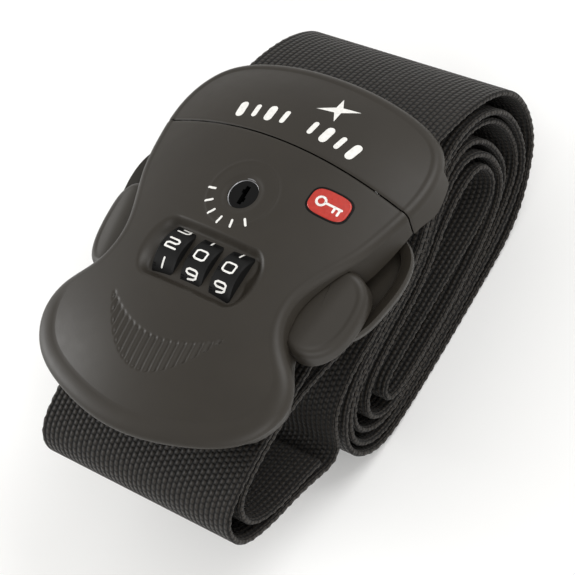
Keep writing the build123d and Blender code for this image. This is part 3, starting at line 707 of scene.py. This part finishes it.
def tray_top(x, y):
    """Wall height: lower along the guards and at the mouth for the plug's prongs."""
    guard = smoothstep(-16.5, -15.0, y) * smoothstep(24.0, 26.0, x)
    mouth = (1 - smoothstep(13.2, 14.2, x)) * smoothstep(5, 8, y)
    return TRAY_RIM - GUARD_DROP * guard - MOUTH_DROP * mouth


def lug_top(x, y):
    """Level top of a lug."""
    return np.full(len(x), LUG_TOP)


tray_rings = side_rows(TRAY, TRAY_SPINE, TRAY_BOTTOM, tray_top, TRAY_FOOT)
tray = mirrored(tray_rings, "lower_tray", TRAY_WALL, TRAY_BEVEL, shell_plastic)
for side, name in ((-1, "left"), (1, "right")):
    turns = ((1, 1), (1, -1), (-1, -1), (-1, 1))
    lug_plan = [(side * LUG_X + across * LUG_HALF, LUG_Y + along * LUG_LONG) for across, along in turns]
    lug = pebble(f"bar_lug_{name}", lug_plan, lug_top, LUG_BOTTOM, LUG_ROUND, shell_plastic)
    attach(lug, "housing")
soften(tray, 40)
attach(tray, "housing")
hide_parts("lower_cover")

# ---------------------------------------------------------------- release pads
PAD = [
    (24.0, -1.7), (28.9, -1.9), (31.6, -4.2), (32.7, -9.2), (32.3, -14.2), (30.6, -18.6), (27.2, -21.4),
    (23.0, -21.2), (19.8, -18.6), (18.6, -12.0), (20.0, -5.0),
]
PAD_TOP, PAD_BOTTOM, PAD_ROUND = 53.1, 47.0, 1.8
PAD_FALL, PAD_FALL_X = 0.06, 23.0                     # slow fall of the top and where it starts
RIDGE_X, RIDGE_RUN, RIDGE_Y = 28.6, 0.16, 2.0         # soft ridge along the pad
BEYOND_RIDGE, RIDGE_SHARPNESS = 0.55, 1.6


def pad_top(x, y):
    """Top of a release pad: nearly level beside the cover, then falling away past a soft ridge."""
    out = np.abs(x) - (RIDGE_X + RIDGE_RUN * (y + RIDGE_Y))
    near = PAD_TOP - PAD_FALL * np.clip(np.abs(x) - PAD_FALL_X, 0, None)
    return near - BEYOND_RIDGE * np.log1p(np.exp(RIDGE_SHARPNESS * out)) / RIDGE_SHARPNESS


for side, name in ((-1, "left"), (1, "right")):
    plan = [(side * x, y) for x, y in PAD]
    pad = pebble(f"press_pad_{name}", plan, pad_top, PAD_BOTTOM, PAD_ROUND, shell_plastic)
    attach(pad, f"release_pad_{name}")
    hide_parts(f"release_pad_{name}")

# ---------------------------------------------------------------- number dials
GLYPHS = {
    0: [[(0.2, 0), (0.8, 0), (1, 0.2), (1, 1.2), (0.8, 1.4), (0.2, 1.4), (0, 1.2), (0, 0.2), (0.2, 0)]],
    1: [[(0.5, 0), (0.5, 1.4)]],
    2: [[(1, 0), (0, 0), (0, 0.5), (0.2, 0.7), (0.8, 0.7), (1, 0.9), (1, 1.2), (0.8, 1.4), (0, 1.4)]],
    3: [[(0, 0), (0.8, 0), (1, 0.2), (1, 0.5), (0.8, 0.7), (0.3, 0.7)],
        [(0.8, 0.7), (1, 0.9), (1, 1.4), (0, 1.4)]],
    4: [[(0.75, 0), (0.75, 1.4)], [(0, 1.4), (0, 0.5), (1, 0.5)]],
    5: [[(0, 0), (0.8, 0), (1, 0.2), (1, 0.6), (0.8, 0.8), (0, 0.8), (0, 1.4), (1, 1.4)]],
    6: [[(0.8, 1.4), (0.2, 1.4), (0, 1.2), (0, 0.2), (0.2, 0), (0.8, 0), (1, 0.2), (1, 0.6), (0.8, 0.8),
         (0, 0.8)]],
    7: [[(0, 1.4), (1, 1.4), (0.4, 0)]],
    8: [[(0.2, 0), (0.8, 0), (1, 0.2), (1, 1.2), (0.8, 1.4), (0.2, 1.4), (0, 1.2), (0, 0.2), (0.2, 0)],
        [(0, 0.7), (1, 0.7)]],
    9: [[(0.3, 0), (0.8, 0.15), (1, 0.4), (1, 1.2), (0.8, 1.4), (0.2, 1.4), (0, 1.2), (0, 0.9), (0.2, 0.7),
         (1, 0.7)]],
}
GLYPH_W, GLYPH_H, STROKE = 2.6, 2.1, 0.42
GLYPH_RISE = 1.4                              # height of the glyphs' own grid
DIGIT_STEP, DIGIT_TURN, INK = 36, 8, 0.03     # degrees per digit, degrees off the top, thickness
STROKE_STEP = 0.25


def stroke(points, width):
    """Flat ribbon along a polyline with round joints, as 2-D points and faces."""
    verts, faces = [], []
    p = np.array(points, float)
    for a, b in zip(p, p[1:]):
        d = (b - a) / np.linalg.norm(b - a)
        half = np.array((-d[1], d[0])) * width / 2
        steps = max(2, int(np.linalg.norm(b - a) / STROKE_STEP) + 1)
        base = len(verts)
        for t in np.linspace(0, 1, steps):
            c = a + (b - a) * t
            verts += [tuple(c - half), tuple(c + half)]
        for i in range(base, base + 2 * (steps - 1), 2):
            faces.append((i, i + 1, i + 3, i + 2))
    turns = [k * math.pi / 6 for k in range(12)]
    for c in p:
        base = len(verts)
        verts += [tuple(c + width / 2 * np.array((math.cos(a), math.sin(a)))) for a in turns]
        faces.append(tuple(base + k for k in range(12)))
    return verts, faces


def dial_digits(name, centre, showing):
    """All ten digits printed round one dial; the given one faces out of the lock."""
    parts = []
    for step in range(10):
        digit = (showing + step) % 10
        for line in GLYPHS[digit]:
            flat = [((x - 0.5) * GLYPH_W, (y / GLYPH_RISE - 0.5) * GLYPH_H) for x, y in line]
            verts, faces = stroke(flat, STROKE)
            wrapped = []
            for x, y in verts:
                a = math.radians(DIGIT_STEP * step + DIGIT_TURN) + y / DIAL_R
                r = DIAL_R + INK
                wrapped.append((centre + x, DIAL_Y + r * math.sin(a), DIAL_Z + r * math.cos(a)))
            parts.append((wrapped, faces))
    return new_object(name, *join(parts), white_ink)


for name, place, showing in (("left", -1, 2), ("middle", 0, 0), ("right", 1, 0)):
    digits = dial_digits(f"digits_{name}", place * DIAL_PITCH, showing)
    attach(digits, f"dial_{name}")


# ---------------------------------------------------------------- printed marks
def on_surface(flat, lift):
    """Lays flat points on the lock's upper face."""
    flat = np.array(flat, float)
    return np.column_stack([flat, detailed(flat[:, 0], flat[:, 1]) + lift])


def arc_points(centre, radius, start, end, steps=14):
    """Points along a circular arc, angles in degrees."""
    angles = np.radians(np.linspace(start, end, steps))
    return [(centre[0] + radius * math.cos(a), centre[1] + radius * math.sin(a)) for a in angles]


def star(centre, long, short, waist, spin):
    """Four-pointed star as rings of points round its centre."""
    shape = []
    for k in range(8):
        a = spin + k * math.pi / 4
        r = waist if k % 2 else (long if k % 4 == 0 else short)
        shape.append((r * math.cos(a), r * math.sin(a)))
    edge = []
    for a, b in zip(shape, shape[1:] + shape[:1]):
        edge += [(a[0] + (b[0] - a[0]) * t, a[1] + (b[1] - a[1]) * t) for t in np.linspace(0, 1, 7)[:-1]]
    sizes = np.linspace(0.02, 1, 9)
    rings = [[(centre[0] + x * size, centre[1] + y * size) for x, y in edge] for size in sizes]
    faces = grid_faces(len(sizes), len(edge), closed=True) + [tuple(range(len(edge)))]
    return [p for ring in rings for p in ring], faces


def print_mark(name, parts, body, lift=0.035):
    """White print on the lock's upper face."""
    verts, faces = join(parts)
    flat = np.array(verts)[:, :2]
    obj = new_object(name, on_surface(flat, lift), faces, white_ink)
    mesh = bmesh.new()
    mesh.from_mesh(obj.data)
    for face in mesh.faces:
        face.normal_update()
        if face.normal.z < 0:
            face.normal_flip()
    mesh.to_mesh(obj.data)
    mesh.free()
    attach(obj, body)


BADGE = (17.4, 7.5)
BADGE_LONG, BADGE_SHORT = 4.3, 2.9
BADGE_POWER, BADGE_POINTS, BADGE_FOOT = 0.62, 24, 54.5
BADGE_INK, BADGE_STROKE = 0.31, 0.5


def squared(value):
    """Sine or cosine pushed outwards, which squares up an ellipse."""
    return math.copysign(abs(value) ** BADGE_POWER, value)


def badge_plan(grow):
    """Rounded rectangle, wider than it is deep."""
    angles = [2 * math.pi * k / BADGE_POINTS for k in range(BADGE_POINTS)]
    return [(BADGE[0] + (BADGE_LONG + grow) * squared(math.cos(a)),
             BADGE[1] + (BADGE_SHORT + grow) * squared(math.sin(a))) for a in angles]


def badge_stroke(points):
    """Stroke of the badge's key, with points counted from the badge's middle."""
    return stroke([(BADGE[0] + x, BADGE[1] + y) for x, y in points], BADGE_STROKE)


def badge_face(lift):
    """Height of the badge's face over the lock's crowned surface."""
    return lambda x, y: crown(x, y) + lift


badge_rim = pebble("badge_rim", badge_plan(0.45), badge_face(0.10), BADGE_FOOT, 0.25, dial_plastic)
plate = pebble("badge_plate", badge_plan(0.0), badge_face(0.28), BADGE_FOOT, 0.35, badge_red)
bow = stroke(arc_points((BADGE[0] - 1.7, BADGE[1]), 0.95, 0, 360, 25), BADGE_STROKE)
shank = badge_stroke([(-0.8, 0), (2.9, 0)])
teeth = [badge_stroke([(1.5, 0), (1.5, -1.1)]), badge_stroke([(2.6, 0), (2.6, -1.3)])]
print_mark("badge_key", [bow, shank, *teeth], "housing", BADGE_INK)
for piece in (badge_rim, plate):
    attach(piece, "housing")
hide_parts("badge")



def radial_stroke(centre, low, high, angle, width):
    """Straight stroke that points away from a centre, between two radii."""
    return stroke(arc_points(centre, low, angle, angle, 1) + arc_points(centre, high, angle, angle, 1), width)


TICK_R, TICK_LONG, TICK_WIDTH = 6.3, 1.5, 0.5
TICK_START, TICK_STEP, TICKS = 190, 24, 6
ticks = []
for k in range(TICKS):
    angle = TICK_START + TICK_STEP * k
    ticks.append(radial_stroke((0, KEY_Y), TICK_R, TICK_R + TICK_LONG, angle, TICK_WIDTH))
print_mark("scale_ticks", ticks, "housing")

BAR_CENTRE, BAR_R, BAR_HALF, BAR_STEP = (0.5, -48.0), 69.6, 1.1, 2.95
WIDE, NARROW, GAP = 1.9, 1.2, 0
STAR_PLACE, STAR_LONG, STAR_SHORT, STAR_WAIST, STAR_SPIN = (5.6, 27.8), 4.6, 3.2, 1.0, 20
bars = []
for k, wide in enumerate((WIDE, NARROW, WIDE, NARROW, GAP, NARROW, WIDE, NARROW, WIDE)):
    if wide:
        angle = 90 - (k - 4.0) * BAR_STEP
        bars.append(radial_stroke(BAR_CENTRE, BAR_R - BAR_HALF, BAR_R + BAR_HALF, angle, wide))
bars.append(star(STAR_PLACE, STAR_LONG, STAR_SHORT, STAR_WAIST, math.radians(STAR_SPIN)))
print_mark("maker_bars", bars, "plug")

# ---------------------------------------------------------------- webbing
Y_SHIFT = 0.25
WIDTH, THICK = 50.0, 1.4
SELVAGE, SELVAGE_EASE = 0.5, 0.1                   # rounded border and how much thinner it is
RELIEF, RELIEF_SINK = 0.10, 0.07                   # ribs of the warp columns
SCALLOP = 0.13
WANDER = [(0.45, 61.0, 0.0), (0.25, 23.0, 1.0)]    # sideways drift: size, run and start of each wave
BORDER_UV = np.array([0.3, 0.6, 0.9])              # steps round a selvage
SKEW_START, SKEW_END, SKEW, SKEW_ACROSS = 28, 58, 2.3, 0.046     # far end of the roll pushed askew
BEND_SAMPLES = 60
LEAD_START = [(28.5, 43.4), (19.9, 44.0), (19.9, 48.4), (31.0, 47.6)]
ROUTE = [
    (47.5, 40.5), (56.0, 30.5), (55.2, 15.5), (46.5, 6.5),
    (36.0, 1.4), (18.0, 0.8), (-6.0, 0.8), (-21.0, 2.2), (-26.8, 12.5), (-21.0, 23.0), (-8.0, 26.7),
    (14.0, 28.0), (27.3, 38.3), (41.0, 37.6), (49.8, 28.5), (49.0, 13.8), (38.0, 8.0),
    (20.0, 4.6), (-2.0, 4.4), (-16.0, 5.2), (-22.0, 13.0), (-17.5, 20.8), (-6.0, 23.2),
    (13.0, 24.2), (27.0, 33.0), (36.5, 33.4), (42.3, 25.0), (40.9, 14.8), (30.0, 10.2),
    (12.0, 8.2), (-3.0, 8.0), (-11.8, 8.6), (-11.4, 14.4), (-3.0, 15.0), (16.0, 14.8),
    (31.0, 14.6), (39.0, 17.6), (39.4, 25.4), (35.0, 28.4), (25.0, 28.0), (11.0, 22.0),
    (-4.0, 20.9), (-13.8, 19.0), (-18.0, 12.5), (-13.6, 6.5), (-2.0, 6.2), (18.0, 6.4),
    (34.0, 9.2), (44.4, 15.0), (44.0, 27.5), (38.2, 35.6), (27.5, 35.3), (13.2, 26.2),
    (-6.0, 25.0), (-18.5, 22.2), (-24.6, 12.5), (-19.0, 3.8), (-6.0, 2.6), (19.0, 2.8),
    (38.0, 5.6), (50.0, 11.8), (52.0, 28.5), (43.5, 39.6), (29.0, 41.8), (14.0, 30.0),
    (-4.0, 28.6), (-15.0, 28.2), (-24.2, 24.5), (-27.8, 13.6), (-38.5, 20.0), (-50.0, 24.2),
    (-56.6, 29.6), (-55.6, 38.6), (-45.0, 41.6), (-34.0, 42.1), (-24.0, 42.4), (-8.0, 42.5),
]
TAIL = [
    (4.8, 42.4), (4.6, 36.0), (4.6, 31.4), (-3.5, 31.0), (-14.0, 35.4), (-29.0, 40.2), (-44.0, 39.4),
    (-51.2, 36.8), (-51.8, 29.8), (-46.5, 24.8), (-38.0, 21.9), (-32.0, 19.6),
]
corners = np.array(LEAD_START + ROUTE + TAIL) + (Y_SHIFT, 0)
middles = (corners[1:] + corners[:-1]) / 2
PIECES = [
    ("webbing_lead", 0, 8), ("webbing_turn_1", 8, 23), ("webbing_turn_2", 23, 38), ("webbing_turn_3", 38, 54),
    ("webbing_turn_4", 54, 69), ("webbing_return", 69, 81), ("webbing_tail", 81, len(corners)),
]
STEP = 0.85


def middle_line(first, last):
    """Smooth line of one webbing length: a curve that bends at each corner of the route."""
    line = []
    if first == 0:
        line.append([corners[0], (corners[0] + middles[0]) / 2, middles[0]])
    for i in range(max(first, 1), min(last, len(corners) - 1)):
        line.append([middles[i - 1], corners[i], middles[i]])
    if last == len(corners):
        line.append([middles[-1], (corners[-1] + middles[-1]) / 2, corners[-1]])
    dense = []
    for a, b, c in line:
        t = np.linspace(0, 1, BEND_SAMPLES)[:-1, None]
        dense.append((1 - t) ** 2 * a + 2 * t * (1 - t) * b + t**2 * c)
    dense = np.vstack(dense + [[line[-1][2]]])
    run = np.r_[0, np.cumsum(np.linalg.norm(np.diff(dense, axis=0), axis=1))]
    at = np.linspace(0, run[-1], int(run[-1] / STEP) + 1)
    return np.stack([np.interp(at, run, dense[:, i]) for i in (0, 1)], 1), at


def webbing_piece(name, first, last, started):
    """One length of webbing with ribbed faces, round selvages and real thickness."""
    line, at = middle_line(first, last)
    along = np.gradient(line, axis=0)
    along /= np.linalg.norm(along, axis=1)[:, None]
    normal = np.stack([-along[:, 1], along[:, 0]], 1)
    columns = int(WIDTH / COLUMN)
    across = np.linspace(-WIDTH / 2 + SELVAGE, WIDTH / 2 - SELVAGE, columns * 3 + 1)
    relief = RELIEF * (np.abs(np.sin(np.pi * (across + WIDTH / 2) / COLUMN)) - 0.5)
    lift = THICK / 2 - RELIEF_SINK + relief
    bends = np.linspace(-1, 1, 5)[1:-1] * math.pi / 2
    edge_x = WIDTH / 2 - SELVAGE + SELVAGE * np.cos(bends)
    edge_z = (THICK / 2 - SELVAGE_EASE) * np.sin(bends)
    loop_x = np.r_[across, edge_x[::-1], across[::-1], -edge_x]
    loop_n = np.r_[lift, edge_z[::-1], -lift[::-1], edge_z]
    side = np.r_[np.zeros(len(across)), np.ones(3), np.zeros(len(across)), -np.ones(3)]
    length = started + at
    wander = sum(size * np.sin(length / run + start) for size, run, start in WANDER)
    scallop = SCALLOP * np.sin(2 * math.pi * length / (2 * CELL))
    verts = np.zeros((len(line), len(loop_x), 3))
    verts[:, :, 0] = loop_x[None] + wander[:, None] + side[None] * scallop[:, None]
    verts[:, :, 1] = line[:, None, 0] + normal[:, None, 0] * loop_n[None]
    verts[:, :, 2] = line[:, None, 1] + normal[:, None, 1] * loop_n[None]
    skew = smoothstep(SKEW_START, SKEW_END, verts[:, :, 1])
    verts[:, :, 1] -= skew * (SKEW - SKEW_ACROSS * verts[:, :, 0])
    girth = len(loop_x)
    faces = grid_faces(len(line), girth, closed=True)
    faces.append(tuple(range(girth - 1, -1, -1)))
    faces.append(tuple(range((len(line) - 1) * girth, len(line) * girth)))
    obj = new_object(name + "_web", verts.reshape(-1, 3), faces, weave)
    uv = obj.data.uv_layers.new(name="weave")
    flat_x = np.r_[across, edge_x[::-1] + BORDER_UV, across[::-1], -edge_x - BORDER_UV[::-1]] + WIDTH / 2
    place = np.zeros((len(line) * girth, 2))
    place[:, 0] = np.tile(flat_x, len(line)) / UV_SPAN
    place[:, 1] = np.repeat(length, girth) / UV_SPAN
    index = np.zeros(len(obj.data.loops), int)
    obj.data.loops.foreach_get("vertex_index", index)
    uv.data.foreach_set("uv", place[index].ravel())
    return obj, at[-1]


total = 0.0
for name, first, last in PIECES:
    piece, length = webbing_piece(name, first, last, total)
    total += length
    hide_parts(name)
    if name == "webbing_lead":
        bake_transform(piece)
    else:
        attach(piece, "housing")

# ---------------------------------------------------------------- floor and light
FLOOR_HALF, FLOOR_Z = 3000, -0.05
floor_corners = [(x * FLOOR_HALF, y * FLOOR_HALF, FLOOR_Z) for x, y in ((-1, -1), (1, -1), (1, 1), (-1, 1))]
floor = new_object("floor", floor_corners, [(0, 1, 2, 3)], smooth=False)
card = Nodes("floor")
card_colour = card.ramp(card.noise(3.0, 2.0), [(0.3, (0.86, 0.86, 0.855)), (0.7, (0.89, 0.89, 0.885))])
card.link(card_colour, card.shader.inputs["Base Color"])
card.shader.inputs["Roughness"].default_value = 0.9
floor.data.materials.append(card.material)

world = bpy.data.worlds.new("studio")
world.use_nodes = True
world.node_tree.nodes["Background"].inputs["Color"].default_value = (1.0, 0.99, 0.97, 1)
world.node_tree.nodes["Background"].inputs["Strength"].default_value = 0.72
bpy.context.scene.world = world


def softbox(name, place, size, power, aim=(0, 0, 0.03)):
    """Square area light aimed at the object."""
    data = bpy.data.lights.new(name, "AREA")
    data.size = size
    data.energy = power
    lamp = bpy.data.objects.new(name, data)
    bpy.context.scene.collection.objects.link(lamp)
    lamp.location = place
    lamp.rotation_euler = (Vector(aim) - Vector(place)).to_track_quat("-Z", "Y").to_euler()


softbox("key", (-0.95, -0.30, 0.38), 0.45, 5.5)
softbox("back", (0.45, 0.75, 0.85), 0.7, 8.0)
softbox("fill", (0.80, -0.60, 0.60), 0.7, 5.0)
bpy.context.scene.view_settings.view_transform = "Standard"
